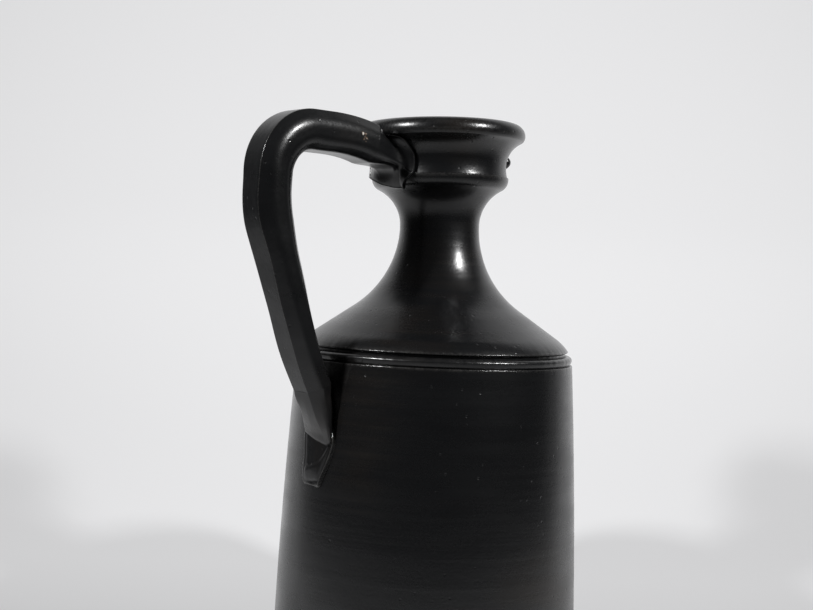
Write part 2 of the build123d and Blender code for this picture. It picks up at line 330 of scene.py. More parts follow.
def slip_material(name, streak, lump, gloss, brown_spots, chips):
    """Black slip over clay.

    Streak multiplies each axis for the brush lines, lump is the unevenness and gloss the roughness.
    Brown spots are (center, radius), and chips are (center, radius, depth), in millimetres.
    """
    material = bpy.data.materials.new(name)
    build = new_tree(material)
    place = build.node("TexCoord", {}, {}, "Object")
    marks = [{"attribute_name": "wear_and_sheen"}, {"attribute_name": "bare"}]
    wear_and_sheen, bare = (build.node("Attribute", mark, {}, "Fac") for mark in marks)

    drift = noise(place, 13, 3.0, 0.55)
    lines = noise(stretched(place, streak), 1.0, 4.0, 0.6)
    cloud = noise(stretched(place, [1, 1, 3.5]), 22, 3.0)
    grain = noise(place, 900, 3.0, 0.6)
    lumps = noise(place, 170, 2.0)
    cells = build.node("TexVoronoi", {}, {"Vector": place, "Scale": 210.0, "Randomness": 1.0})
    rare = noise(place, 41, 1.0)
    pits = (1 - ease(cells, 0.04, 0.15)) * ease(rare, 0.42, 0.58)

    brown = ease(drift + 0.35 * (lines - 0.5), 0.50, 0.78) * 0.75
    for center, radius in brown_spots:
        patch = spot(place, center, radius) * ease(cloud, 0.3, 0.6)
        brown = build.math("MAXIMUM", brown, patch)
    thin = blend(brown, SLIP_BLUE, SLIP_BROWN)
    # Rubbed grey where the edge mark is set, which also paints highlight and reflection lines.
    scuffed_and_sheen = blend(wear_and_sheen * ease(grain + 0.5 * lumps, 0.45, 0.85), thin, RUBBED_AND_SHEEN)
    for center, radius, depth in chips:
        bare = build.math("MAXIMUM", bare, depth * spot(place, center, radius))
    flaked = bare + 2.4 * bare * (noise(place, 1300, 3.0) - 0.5)
    broken = ease(flaked, 0.50, 0.62)
    clay = blend(ease(flaked, 0.74, 0.86), CLAY, PALE_CLAY)
    color = blend(broken, scuffed_and_sheen, clay)

    rough = gloss + 0.16 * (cloud - 0.5) + 0.08 * (lines - 0.5) + 0.06 * (grain - 0.5) - 0.06 * wear_and_sheen
    rough = build.math("MAXIMUM", rough + 0.5 * broken, 0.12)
    coat = (0.16 - 0.4 * (cloud - 0.45)) * (1 - broken)

    relief = 0.30 * lines + lump * lumps + 0.30 * grain + 0.7 * wear_and_sheen * grain
    relief = relief - 1.1 * pits - 0.5 * broken
    bump = build.node("Bump", {}, {"Strength": 0.35, "Distance": 0.0004, "Height": relief})
    inputs = {"Base Color": color, "Roughness": rough, "Coat Weight": coat, "Normal": bump}
    inputs |= {"Coat Roughness": 0.16, "IOR": 1.5}
    gloss_shader = build.node("BsdfPrincipled", {}, inputs)
    build.node("OutputMaterial", {}, {"Surface": gloss_shader})
    return material


# Two patches mixed to the brown slip colour at set places: one low on the body, one on the collar under the
# lip.
BROWN_SPOTS = [((10, -70, 30), 45), ((-17, -30, 231), 16)]
CHIPS = [
    ((-54.5, -9.6, 231.0), 1.3, 0.92),
    ((-53.1, -9.6, 230.9), 1.1, 0.90),
    ((-53.0, -9.6, 228.9), 2.7, 0.57),
]
thrown_slip = slip_material("thrown_slip", [16, 16, 420], 0.35, 0.27, BROWN_SPOTS, [])
handle_slip = slip_material("handle_slip", [120, 330, 60], 0.9, 0.30, [], CHIPS)
SLIPS = {"black_gloss": thrown_slip, "handle_gloss": handle_slip}
print("slips:", thrown_slip.name, handle_slip.name)

# %% [markdown]
# ## Lines of a profile
# A thrown pot is a profile turned about an axis, and a potter's profile is made of arcs and straight runs.
# These helpers give such runs as arrays of (radius, height) points, close together where the outside shows.

# %% Arcs and runs
FINE, COARSE = 0.8, 3.0


def heading(degrees):
    """The unit direction (cos, sin) of an angle, or of each angle in a row."""
    return np.stack([np.cos(np.radians(degrees)), np.sin(np.radians(degrees))], axis=-1)


def arc(center, radius, start, end, step=FINE):
    """Centre plus radius times (cos t, sin t), with t running evenly from start to end, in degrees."""
    count = max(5, int(abs(np.radians(end - start)) * radius / step) + 2)
    return np.add(center, radius * heading(np.linspace(start, end, count)))


def straight(a, b, step=FINE):
    """Even points from a to b."""
    count = max(2, int(np.hypot(b[0] - a[0], b[1] - a[1]) / step) + 2)
    return np.linspace(a, b, count)


def arc_to(a, direction, b, step=FINE):
    """The arc that leaves a along a unit direction and ends at b, turning by twice the chord's angle."""
    a, chord = np.asarray(a, float), np.subtract(b, a)
    across = direction[0] * chord[1] - direction[1] * chord[0]
    turn = 2 * np.arctan2(across, np.dot(direction, chord))
    radius = np.hypot(*chord) / (2 * np.sin(turn / 2))
    center = a + radius * np.array([-direction[1], direction[0]])
    t = np.linspace(0, turn, max(5, int(abs(radius * turn) / step) + 2))
    x, y = a - center
    return center + np.column_stack([x * np.cos(t) - y * np.sin(t), x * np.sin(t) + y * np.cos(t)])


def chain(*runs):
    """Runs joined end to end, without the points that repeat."""
    line = np.vstack(runs)
    keep = np.append(True, np.hypot(*np.diff(line, axis=0).T) > 1e-6)
    return line[keep]


print("a quarter arc has", len(arc((0, 0), 10, 0, 90)), "points")

# %% [markdown]
# ## The wheel
# The mouth was set on the neck a little askew, so it leans to one side.
# A lathe with a straight axis can't do that, so the axis here is bent: it is upright up to the neck and
# eases over into the lean. The wheel also leaves a slightly oval pot with faint rings, and both are added
# as functions of angle and height alone, so that two parts that meet still meet.

# %% A turned surface with a leaning mouth
AROUND = 288
mouth_lean, lean_heading = np.radians([2.3, 100])
lean_ease = 20.0
waist_height = 194.81


def smooth_step(share):
    """3 s s - 2 s s s: from 0 to 1 as the share does, level at both ends."""
    return share**2 * (3 - 2 * share)


def bell(value, center, width):
    """1 at a centre, falling away on both sides as exp(-d d), with d counted in widths."""
    return np.exp(-(((value - center) / width) ** 2))


axis_steps = np.linspace(0, 260, 1041)
lean_share = np.clip((axis_steps - waist_height) / (2 * lean_ease) + 0.5, 0, 1)
axis_tilt = mouth_lean * smooth_step(lean_share)
mid_tilt = (axis_tilt[1:] + axis_tilt[:-1]) / 2
axis_off = np.append(0, np.cumsum(np.sin(mid_tilt) * np.diff(axis_steps)))
axis_z = np.append(0, np.cumsum(np.cos(mid_tilt) * np.diff(axis_steps)))

wheel = np.random.default_rng(11)
ring_waves = wheel.uniform(0.35, 1.5, 9)
ring_phases = wheel.uniform(0, 2 * np.pi, (2, 9))
edge_waves = wheel.integers(7, 90, 18)
edge_phases = wheel.uniform(0, 2 * np.pi, 18)


def wheel_marks(angle, height):
    """Two lobes of oval, nine waves up the wall, and ripples round the edges beside the ridge."""
    oval = 0.12 * np.cos(2 * angle + 0.7) * np.clip(height / 40, 0, 1)
    drift = angle[..., None] * np.round(ring_waves * 2)
    rings = np.sin(height[..., None] * ring_waves + ring_phases[0] + 0.25 * np.sin(drift + ring_phases[1]))
    near_ridge = bell(height, ridge_top, 5.0)
    ripples = np.cos(angle[..., None] * edge_waves + edge_phases).mean(axis=-1)
    return oval + 0.03 * rings.mean(axis=-1) + 0.30 * near_ridge * ripples


def on_wheel(radius, angle, height):
    """Places radius, angle and height about the bent axis, with the wheel's marks in the radius."""
    radius = radius + wheel_marks(angle, height) * np.clip(radius / 10, 0, 1)
    tilt = np.interp(height, axis_steps, axis_tilt)
    toward = radius * np.cos(angle - lean_heading)
    across = radius * np.sin(angle - lean_heading)
    along = np.interp(height, axis_steps, axis_off) + toward * np.cos(tilt)
    x = along * np.cos(lean_heading) - across * np.sin(lean_heading)
    y = along * np.sin(lean_heading) + across * np.cos(lean_heading)
    z = np.interp(height, axis_steps, axis_z) - toward * np.sin(tilt)
    return np.stack([x, y, z], axis=-1)


print("the mouth leans", round(float(np.degrees(mouth_lean)), 1), "degrees")

# %% [markdown]
# ## Closed meshes
# A sheet could be given a thickness later, but a closed shell is easier to trust. Every part here is a grid
# that closes on itself or is closed by a fan at each end. Its volume has a sign, which tells whether its
# faces point out, and edges sharper than a limit stay sharp in the shading.

# %% Grids of points become closed meshes
SHARP = 40
NO_TRIANGLES = np.zeros((0, 3), int)


def fan(ring, middle):
    """Triangles that close a ring of point numbers onto one middle point."""
    return np.column_stack([ring, np.roll(ring, -1), np.full(len(ring), middle)])


def signed_volume(points, triangles):
    """A sixth of the sum of each triangle's triple product, which is negative on a shape inside out."""
    a, b, c = (points[triangles[:, k]] for k in range(3))
    return np.einsum("ij,ij->i", a, np.cross(b, c)).sum() / 6


def make_piece(node, shells, slot, marks):
    """Puts closed shells of (points, quads, triangles) into one piece that stands for a node.

    Points are in millimetres, and marks are named values, one for each point.
    """
    points, faces, first = [], [], 0
    for shell_points, quads, triangles in shells:
        halves = np.vstack([quads[:, [0, 1, 2]], quads[:, [0, 2, 3]], triangles])
        turn = -1 if signed_volume(shell_points, halves) < 0 else 1
        faces += (quads[:, ::turn] + first).tolist() + (triangles[:, ::turn] + first).tolist()
        points.append(shell_points)
        first += len(shell_points)
    mesh = bpy.data.meshes.new(node + "_finish")
    mesh.from_pydata(np.vstack(points) * MM, [], faces)
    for label, values in marks.items():
        layer = mesh.attributes.new(label, "FLOAT", "POINT")
        layer.data.foreach_set("value", values.astype(np.float32).ravel())
    mesh.shade_smooth()
    mesh.set_sharp_from_angle(angle=np.radians(SHARP))
    mesh.materials.append(SLIPS[slot])
    piece = new_object(node + "_finish", mesh)
    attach(piece, "root")
    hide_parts(node)
    print(piece.name, len(mesh.vertices), "points")


angle_steps = np.linspace(0, 2 * np.pi, AROUND, endpoint=False)


def turned(profile):
    """Each profile point carried round the axis: a grid of one row per point."""
    spread = np.broadcast_to(angle_steps, (len(profile), AROUND))
    return on_wheel(profile[:, :1], spread, np.repeat(profile[:, 1:], AROUND, axis=1))


def turned_ring(profile):
    """A closed profile turned about the axis: a ring, such as a collar with an inside and an outside."""
    profile = profile[:-1] if np.allclose(profile[0], profile[-1]) else profile
    return turned(profile).reshape(-1, 3), grid_quads(len(profile), AROUND, True), NO_TRIANGLES


def tube(rings, ends=None):
    """Rings (rings, around, 3) closed by a fan onto each of two end points, or the end rings' middles."""
    rows, columns, _ = rings.shape
    count = rows * columns
    ends = rings[[0, -1]].mean(axis=1) if ends is None else ends
    first_ring, last_ring = np.arange(columns), np.arange(count - columns, count)
    triangles = np.vstack([fan(first_ring[::-1], count), fan(last_ring, count + 1)])
    return np.vstack([rings.reshape(-1, 3), ends]), grid_quads(rows, columns), triangles


def turned_cup(profile):
    """A profile from the axis out, up, over and back to the axis, turned, with a fan at each pole."""
    poles = np.column_stack([np.zeros((2, 2)), profile[[0, -1], 1]])
    return tube(turned(profile[1:-1]), poles)


def worn_near(points, height, width):
    """Wear that is 1 at a height and fades above and below it, broken up round the jug."""
    angle = np.arctan2(points[:, 1], points[:, 0])
    broken = np.cos(angle[:, None] * edge_waves * 2 + edge_phases).mean(axis=1)
    return bell(points[:, 2], height, width) * np.clip(0.6 + 1.6 * broken, 0, 1)


def ring_wear_and_sheen(profile, height, width):
    """Rubbed wear and a painted light line along one level of a turned profile, even all the way round."""
    return np.repeat(bell(profile[:, 1], height, width), AROUND)


print("edges stay sharp above", SHARP, "degrees")

# %% [markdown]
# ## Foot, body and ridge
# The body is a straight-sided cup that widens to its foot, on a low ring that keeps its floor off the
# table. A turned bead closes the wall at the top, with a groove on each side whose edges catch the light.
# A lathe profile for each gives crisp edges where the turner left them, at a fraction of a millimetre.

# %% Foot ring
foot_width, foot_corner = 9.0, 1.6
foot_inner = foot_radius - foot_width
foot_profile = chain(
    straight((foot_inner + foot_corner, 0), (foot_radius - foot_corner, 0)),
    arc((foot_radius - foot_corner, foot_corner), foot_corner, -90, 0, 0.3),
    straight((foot_radius, foot_corner), (foot_radius, foot_height)),
    straight((foot_radius, foot_height), (foot_inner, foot_height), COARSE),
    straight((foot_inner, foot_height), (foot_inner, foot_corner)),
    arc((foot_inner + foot_corner, foot_corner), foot_corner, 180, 270, 0.3),
)
foot = turned_ring(foot_profile)
foot_bare = np.clip(1.5 - foot[0][:, 2] / 1.2, 0, 1)
make_piece("foot_ring", [foot], "black_gloss", {"wear_and_sheen": foot_bare, "bare": foot_bare})

# %% Body cup
heel_radius, wall_start, wall_foot_radius, wall_top_radius, wall_swell = 60.0, 16.0, 67.1, 61.4, 0.65
wall_thickness, floor_top, floor_corner, edge_round = 5.0, 13.0, 8.0, 0.45
heel_lean, rim_drop = 0.02, 6.0


def wall_radius(height):
    """A straight taper from foot to top with a parabola of swell between."""
    share = (height - wall_start) / (wall_top - wall_start)
    taper = wall_foot_radius + (wall_top_radius - wall_foot_radius) * share
    return taper + 4 * wall_swell * share * (1 - share)


wall_heights = np.linspace(wall_start, wall_top - edge_round, 152)
wall_face = np.column_stack([wall_radius(wall_heights), wall_heights])
edge_radius = wall_face[-1, 0]
heel_up = np.array([heel_lean, 1.0]) / np.hypot(heel_lean, 1.0)
heel = arc_to((wall_foot_radius, wall_start), -heel_up, (heel_radius, foot_height))[::-1]
inner_heights = np.arange(wall_top - rim_drop, wall_start + 3, -COARSE)
inner_face = np.column_stack([wall_radius(inner_heights) - wall_thickness, inner_heights])
floor_bend = arc_to(inner_face[-1], (0, -1), (inner_face[-1, 0] - floor_corner, floor_top), 1.5)
body_profile = chain(
    straight((0, foot_height), (heel_radius, foot_height), 8),
    heel,
    wall_face,
    arc((edge_radius - edge_round, wall_top - edge_round), edge_round, 0, 90, 0.12),
    straight((edge_radius - edge_round, wall_top), (edge_radius - wall_thickness, wall_top), COARSE),
    inner_face,
    floor_bend,
    straight(floor_bend[-1], (0, floor_top), 8),
)
body = turned_cup(body_profile)
body_worn = worn_near(body[0], wall_top - 0.3, 0.5)
make_piece("body", [body], "black_gloss", {"wear_and_sheen": body_worn})

# %% Ridge between two grooves
ridge_inner, ridge_groove, ridge_share, bead_in = 54.0, 60.2, 0.55, 2.9
bead_level = wall_top + ridge_share * (ridge_top - wall_top)
bead_turn = np.radians(np.linspace(0, 90, 14))
bead_over = np.column_stack([
    ridge_radius - bead_in * (1 - np.cos(bead_turn)),
    bead_level + (ridge_top - bead_level) * np.sin(bead_turn),
])
bead_under = arc_to((ridge_groove, wall_top), (0.62, 0.785), (ridge_radius, bead_level), 0.3)
ridge_profile = chain(
    bead_under,
    bead_over,
    straight(bead_over[-1], (ridge_inner, ridge_top), COARSE),
    straight((ridge_inner, ridge_top), (ridge_inner, wall_top), COARSE),
    straight((ridge_inner, wall_top), (ridge_groove, wall_top), COARSE),
)
ridge = turned_ring(ridge_profile)
ridge_worn = worn_near(ridge[0], bead_level + 1.2, 1.0) * 0.4
make_piece("shoulder_ring", [ridge], "black_gloss", {"wear_and_sheen": ridge_worn})

# %% [markdown]
# ## Shoulder, neck and mouth
# A cone rises from the ridge and sweeps up into a narrow neck, which opens again into a small bowl.
# On the bowl sits a collar, a hollow moulding with a rolled lip. The profile could be one free curve, but a
# chain of arcs and straight runs keeps every swell and hollow a named size. The line has a corner at the
# ledge, where bowl and collar were joined, and a slight one under the lip.

# %% Shoulder and neck
shoulder_slope, neck_radius, neck_sweep, neck_thickness = 55.4, 17.6, 44.3, 5.0
cone_edge, cone_foot, shoulder_groove, shoulder_arris = 54.0, 146.45, 57.9, 0.35
shoulder_edge = np.array([59.25, 141.3])
sweep_center = (neck_radius + neck_sweep, waist_height)
neck_face = arc(sweep_center, neck_sweep, 180 + shoulder_slope, 180)
throat = arc(sweep_center, neck_sweep + neck_thickness, 180, 180 + shoulder_slope, COARSE)
cone_run = heading(shoulder_slope - 90)
shoulder_round = arc_to((cone_edge, cone_foot), cone_run, shoulder_edge, 0.3)
edge_run = shoulder_round[-1] - shoulder_round[-2]
edge_turn = np.degrees(np.arctan2(edge_run[0], -edge_run[1]))
arris_center = shoulder_edge - shoulder_arris * heading(edge_turn)
throat_foot = throat[-1] + cone_run * (ridge_inner - throat[-1, 0]) / cone_run[0]
neck_profile = chain(
    straight((ridge_inner, ridge_top), (shoulder_groove, ridge_top), COARSE),
    straight((shoulder_groove, ridge_top), (shoulder_groove, ridge_top + 0.8), 0.4),
    arc(arris_center, shoulder_arris, -60, edge_turn, 0.1),
    shoulder_round[::-1],
    straight((cone_edge, cone_foot), neck_face[0]),
    neck_face,
    throat,
    straight(throat[-1], throat_foot, COARSE),
    straight(throat_foot, (ridge_inner, ridge_top), COARSE),
)
neck = turned_ring(neck_profile)
neck_worn = worn_near(neck[0], arris_center[1], 0.7)
make_piece("shoulder_neck", [neck], "black_gloss", {"wear_and_sheen": neck_worn})

# %% Mouth bowl
bowl_flare, bowl_round, ledge_rise, ledge_round = 18.0, 5.2, 0.7, 0.2
collar_radius, collar_bore, throat_bore = 29.3, 24.5, neck_radius - neck_thickness
bowl_turn = np.degrees(np.arccos(1 - (bowl_radius - neck_radius) / (bowl_flare + bowl_round)))
belly_level = waist_height + (bowl_flare + bowl_round) * np.sin(np.radians(bowl_turn))
ledge_height = belly_level + ledge_rise
belly_center = (bowl_radius - bowl_round, belly_level)
bowl_inside = arc_to((throat_bore, waist_height), (0, 1), (collar_bore, ledge_height), 1.5)
bowl_face = chain(
    arc((neck_radius + bowl_flare, waist_height), bowl_flare, 180, 180 - bowl_turn, 0.6),
    arc(belly_center, bowl_round, -bowl_turn, 0, 0.5),
    straight((bowl_radius, belly_level), (bowl_radius, ledge_height - ledge_round), 0.4),
    arc((bowl_radius - ledge_round, ledge_height - ledge_round), ledge_round, 0, 90, 0.2),
)
bowl_profile = chain(
    bowl_face,
    straight(bowl_face[-1], (collar_bore, ledge_height), COARSE),
    bowl_inside[::-1],
    straight((throat_bore, waist_height), (neck_radius, waist_height), COARSE),
)
bowl = turned_ring(bowl_profile)
# A grey line on the ledge's rounded corner: rubbed wear and a painted highlight.
bowl_wear_and_sheen = 0.6 * ring_wear_and_sheen(bowl_profile[:-1], ledge_height - 0.6, 0.8)
make_piece("mouth_bowl", [bowl], "black_gloss", {"wear_and_sheen": bowl_wear_and_sheen})

# %% Collar and rolled lip
scotia_start, scotia_radius, scotia_turn = ledge_height + 4.7, 12.5, 61.6
lip_under, lip_low, lip_swell, lip_face, lip_round, lip_in = 3.4, 45, 5.0, 75, 3.0, 150
collar_flare, collar_arris, collar_groove = 0.48, 0.15, 0.38
scotia_center = (collar_radius + scotia_radius, scotia_start)
scotia = arc(scotia_center, scotia_radius, 180, 180 - scotia_turn, 0.5)
under_run = heading(90 - scotia_turn)
lip_edge = lip_radius - lip_under + lip_under * np.cos(np.radians(lip_low))
under_end = scotia[-1] + under_run * (lip_edge - scotia[-1, 0]) / under_run[0]
lip_level = under_end[1] + lip_under * np.sin(np.radians(lip_low))
lip_side = arc((lip_radius - lip_swell, lip_level), lip_swell, 0, lip_face, 0.45)
roll_center = lip_side[-1] - lip_round * heading(lip_face)
lip_roll = chain(
    arc((lip_radius - lip_under, lip_level), lip_under, -lip_low, 0, 0.45),
    lip_side,
    arc(roll_center, lip_round, lip_face, lip_in, 0.3),
)
collar_inside = arc_to((collar_bore, scotia_start), (0, 1), lip_roll[-1], 1.5)
collar_edge = (collar_radius + collar_flare, ledge_height + collar_arris)
collar_face = chain(
    straight((collar_radius + collar_groove, ledge_height), collar_edge, 0.2),
    arc_to((collar_radius, scotia_start), (0, -1), collar_edge, 0.4)[::-1],
    scotia,
    straight(scotia[-1], under_end, 0.5),
    lip_roll,
)
collar_profile = chain(
    collar_face,
    collar_inside[::-1],
    straight((collar_bore, scotia_start), (collar_bore, ledge_height), COARSE),
    straight((collar_bore, ledge_height), (collar_radius + collar_groove, ledge_height), COARSE),
)
collar = turned_ring(collar_profile)
outside = np.arange(len(collar[0])) < len(collar_face) * AROUND
# Two grey bands on the lip: under its edge, wear and a painted reflection; higher, where the highlight
# falls, wear and a painted highlight.
low_mark = ring_wear_and_sheen(collar_profile[:-1], lip_level - 0.6, 0.8)
high_mark = ring_wear_and_sheen(collar_profile[:-1], lip_level + 2.9, 1.3)
collar_wear_and_sheen = outside * (0.5 * low_mark + 0.3 * high_mark)
make_piece("mouth_collar", [collar], "black_gloss", {"wear_and_sheen": collar_wear_and_sheen})

# %% [markdown]
# ## Handle
# The handle is a bar pared to eight sides, bent over square and brought down in a slant to the wall.
# Its outer edges are crisp and its others were softened with a wet finger. It could be a bevelled curve,
# but a curve has one profile all the way. Here rings of eight corners follow the bar's line, and every
# corner is rounded by its own radius, so the bar can thin out, flare and carry knife wobble.

# %% Rounded rings
CORNER_STEPS, FLAT_STEPS = 8, 5
BLOCK = CORNER_STEPS + FLAT_STEPS
FLAT_SHARE, MOST_HALF_TURN = 0.47, 1.4


def rounded(corners, radii):
    """Rings of corners (rings, corners, 3) with each corner replaced by an arc.

    With a and b the points where an arc touches its two flats, s from 0 to 1 and w the cosine of half the
    turn, it is ((1-s)(1-s) a + 2 s (1-s) w corner + s s b) over the sum of the three weights.
    The flats between arcs are divided evenly.
    """
    after = np.roll(corners, -1, axis=1) - corners
    after_length = np.linalg.norm(after, axis=-1, keepdims=True)
    v = after / after_length
    u, before_length = np.roll(v, 1, axis=1), np.roll(after_length, 1, axis=1)
    half_turn = np.arccos(np.clip((u * v).sum(-1, keepdims=True), -1, 1)) / 2
    room = FLAT_SHARE * np.minimum(before_length, after_length)
    wanted = np.asarray(radii)[..., None] * np.tan(np.minimum(half_turn, MOST_HALF_TURN))
    tangent = np.minimum(wanted, room)
    a, b = corners - tangent * u, corners + tangent * v
    s = np.linspace(0, 1, CORNER_STEPS)[:, None]
    weight = np.cos(half_turn)[:, :, None]
    blend_a, blend_p, blend_b = (1 - s) ** 2, 2 * s * (1 - s) * weight, s**2
    curve = a[:, :, None] * blend_a + corners[:, :, None] * blend_p + b[:, :, None] * blend_b
    curve = curve / (blend_a + blend_p + blend_b)
    t = np.linspace(0, 1, FLAT_STEPS + 2)[1:-1, None]
    flat = b[:, :, None] * (1 - t) + np.roll(a, -1, axis=1)[:, :, None] * t
    ring = np.concatenate([curve, flat], axis=2)
    return ring.reshape(len(corners), -1, 3)


def smooth_keys(keys, at):
    """Cubic curves through key values (keys, ...), at places counted in keys.

    A key's slope is half the step between its neighbours.
    """
    keys = np.asarray(keys, float)
    slope = np.gradient(keys, axis=0)
    low = np.clip(np.floor(at).astype(int), 0, len(keys) - 2)
    t = (at - low).reshape(-1, *[1] * (keys.ndim - 1))
    p, q, m, n = keys[low], keys[low + 1], slope[low], slope[low + 1]
    fall = 2 * t**3 - 3 * t**2
    return p * (1 + fall) - q * fall + m * (t**3 - 2 * t**2 + t) + n * (t**3 - t**2)


print("a ring of eight corners has", 8 * BLOCK, "points")

# %% Line of the bar
handle_reach, bar_depth, bar_low_depth = 103.7, 15.5, 11.0
arm_rise, arm_radius, arm_flat, bend_radius, upright_length, lean_arc = 44.3, 82.85, 9.6, 19.15, 6.4, 44.3
root_gap, seat_out, seat_drop = 7.4, 9.6, 10.2
LINE_STEP, RING_STEP = 0.5, 0.85
arm_level = waist_height + arm_rise - bar_depth / 2
upright_out = handle_reach - bar_depth / 2
arm_start, root_seat = upright_out - bend_radius - arm_flat, lip_radius + root_gap
leaf_seat = np.array([wall_top_radius + seat_out, wall_top - seat_drop])
arm_turn = np.degrees(np.arcsin((arm_start - root_seat) / arm_radius))
upright_foot = arm_level - bend_radius - upright_length

seat_across, seat_down = leaf_seat[0] - upright_out + lean_arc, upright_foot - leaf_seat[1]
run_length = np.sqrt(seat_across**2 + seat_down**2 - lean_arc**2)
run_lean = np.degrees(np.arctan2(seat_down, seat_across) - np.arctan2(run_length, lean_arc))
bar_line = chain(
    arc((arm_start, arm_level - arm_radius), arm_radius, 90 + arm_turn, 90, LINE_STEP),
    straight((arm_start, arm_level), (arm_start + arm_flat, arm_level), LINE_STEP),
    arc((upright_out - bend_radius, arm_level - bend_radius), bend_radius, 90, 0, LINE_STEP),
    straight((upright_out, arm_level - bend_radius), (upright_out, upright_foot), LINE_STEP),
    arc((upright_out - lean_arc, upright_foot), lean_arc, 0, -run_lean, LINE_STEP),
    [leaf_seat],
)
line_length = np.append(0, np.cumsum(np.hypot(*np.diff(bar_line, axis=0).T)))
bar_length = line_length[-1]
bar_steps = np.linspace(0, bar_length, int(bar_length / RING_STEP))
bar_points = np.column_stack([np.interp(bar_steps, line_length, bar_line[:, k]) for k in range(2)])
print("bar", round(bar_length, 1), "mm long, its run leans", round(run_lean, 1), "degrees")

# %% Bar with pared sides
knife = np.random.default_rng(5)
outer_flat, outer_chamfer, inner_flat, inner_chamfer = 11.4, 5.2, 12.6, 4.0
run_bow, upright_bow, bow_place, bow_length, low_bend, low_length = 0.9, 0.7, 86, 16, 2.3, 28
ARRIS, SOFT, LOW_SOFT, INNER = 0.6, 7.5, 2.6, 2.8
KNIFE_WAVES = 0.05, 0.22


def softened(values, width):
    """Values averaged with their neighbours by a raised cosine that is a width of points wide."""
    window = np.hanning(width)
    return np.convolve(np.pad(values, width // 2, "edge"), window / window.sum(), "valid")


def wander(reach):
    """Slow wobble of each corner along the bar: twice the mean of four sine waves, times a reach."""
    waves = knife.uniform(*KNIFE_WAVES, (8, 4))
    phases = knife.uniform(0, 2 * np.pi, (8, 4))
    return reach * np.sin(bar_steps[:, None, None] * waves + phases).mean(axis=-1) * 2


def bar_corners(points, along, depth, belly):
    """Eight corners across the bar, from the near outer one round.

    x runs to the near side and y to the outside, and the belly is how far the inner side is let out.
    """
    half, thinned = depth / 2, depth / bar_depth
    cut, slope = inner_chamfer * thinned**2, outer_chamfer * thinned
    flat, inner = outer_flat / 2 * thinned**0.5, inner_flat / 2 * thinned
    wide, low = bar_half + 0 * half, -half - belly
    x = np.column_stack([flat, wide, wide, inner, -inner, -wide, -wide, -flat])
    y = np.column_stack([half, half - slope, cut + low, low, low, cut + low, half - slope, half])
    x = x + wander(0.16)
    y = y + wander(0.14)
    outward = np.column_stack([-along[:, 1], along[:, 0]])
    in_plane = points[:, None] + outward[:, None] * y[..., None]
    return np.stack([-in_plane[..., 0], -x, in_plane[..., 1]], axis=-1)


run_share = np.clip((bar_steps - bar_length + run_length) / run_length, 0, 1)
low_share = np.clip((bar_steps - bar_length + low_length) / low_length, 0, 1)
bar_points[:, 0] += run_bow * smooth_step(run_share)
bar_points[:, 0] += upright_bow * bell(bar_steps, bow_place, bow_length)
bar_points[:, 0] -= low_bend * low_share**2
bar_along = np.gradient(bar_points, bar_steps, axis=0)
bar_along = np.column_stack([softened(bar_along[:, k], 9) for k in range(2)])
bar_along /= np.linalg.norm(bar_along, axis=1, keepdims=True)
belly_places = [0, 10, 35, 62, 75, 95, bar_length - 30, bar_length]
belly = np.interp(bar_steps, belly_places, [1.5, 1.5, 1.3, 0.9, 0.8, 0.0, -0.2, 0.4])
thinning = bar_depth - (bar_depth - bar_low_depth) * run_share
bar_edges = bar_corners(bar_points, bar_along, thinning, softened(belly, 17))
soft = SOFT + (LOW_SOFT - SOFT) * np.clip(run_share * 1.6, 0, 1)
low_inner = soft + (ARRIS - LOW_SOFT) * run_share
crisp, inner_soft = ARRIS + 0 * soft, INNER + (ARRIS - INNER) * run_share
corner_radii = np.column_stack([crisp, soft, low_inner, inner_soft, inner_soft, low_inner, soft, crisp])
bar_rings = rounded(bar_edges, corner_radii)
bar = tube(bar_rings)

# The two outer arrises are marked grey: rubbed wear and a painted highlight line along each.
arris_columns = np.zeros(8 * BLOCK)
for start in (0, 7 * BLOCK):
    arris_columns[start : start + CORNER_STEPS] = np.hanning(CORNER_STEPS)
bar_wear_and_sheen = np.append(np.tile(arris_columns, len(bar_rings)), [0, 0])
make_piece("handle", [bar], "handle_gloss", {"wear_and_sheen": bar_wear_and_sheen})

# %% [markdown]
# ## Upper end of the handle
# The bar's upper end was pressed onto the collar, and its clay was drawn out into an ear on each side, a
# short one on the near side and a longer one under the arm and round the far side.
# Joined solids with a rounded seam would lose the bar's edges. So the root is a tube: its first ring is the
# bar's own end, its last is an outline drawn on the mouth, and smooth curves join their corners by way of a
# narrower wrist.

# %% Upper root on the collar
mouth_face = chain(bowl_face, collar_face)
unroll_radius, wrist_lift, ROOT_ROWS, EDGE_ROWS = 32, 4.5, 36, 4
near_ear = [[10, 37.4], [20, 36.3], [26.5, 29.8], [26.0, 21.6], [12, 14.9], [2, 15.4]]
far_ear = [[-8, 16.8], [-20, 19.4], [-34, 22.2], [-37, 28.0], [-24, 35.8], [-10, 37.6]]
ear_radii = [[2.0, 5.0, 8.0, 2.5, 1.4, 3.0, 3.0, 3.0, 1.2, 2.0, 6.0, 2.0]]
near_wrist = [[8.7, 36.9], [11.7, 35.3], [15.5, 31.7], [16.4, 25.2], [13.6, 23.9], [10.3, 23.4]]
far_wrist = [[-10.3, 23.9], [-13.6, 24.6], [-16.4, 26.0], [-15.5, 32.2], [-11.7, 35.6], [-8.7, 37.0]]
wrist_radii = [[2.0, 3.0, 4.0, 3.0, 2.0, 2.0, 2.0, 2.0, 3.0, 4.0, 3.0, 2.0]]


def on_mouth(angle, height, lift):
    """A place on the mouth: angle from the handle's side, height up the axis, lift off the outer face."""
    radius = np.interp(height, mouth_face[:, 1], mouth_face[:, 0]) + lift
    return on_wheel(radius, np.pi + angle, height)


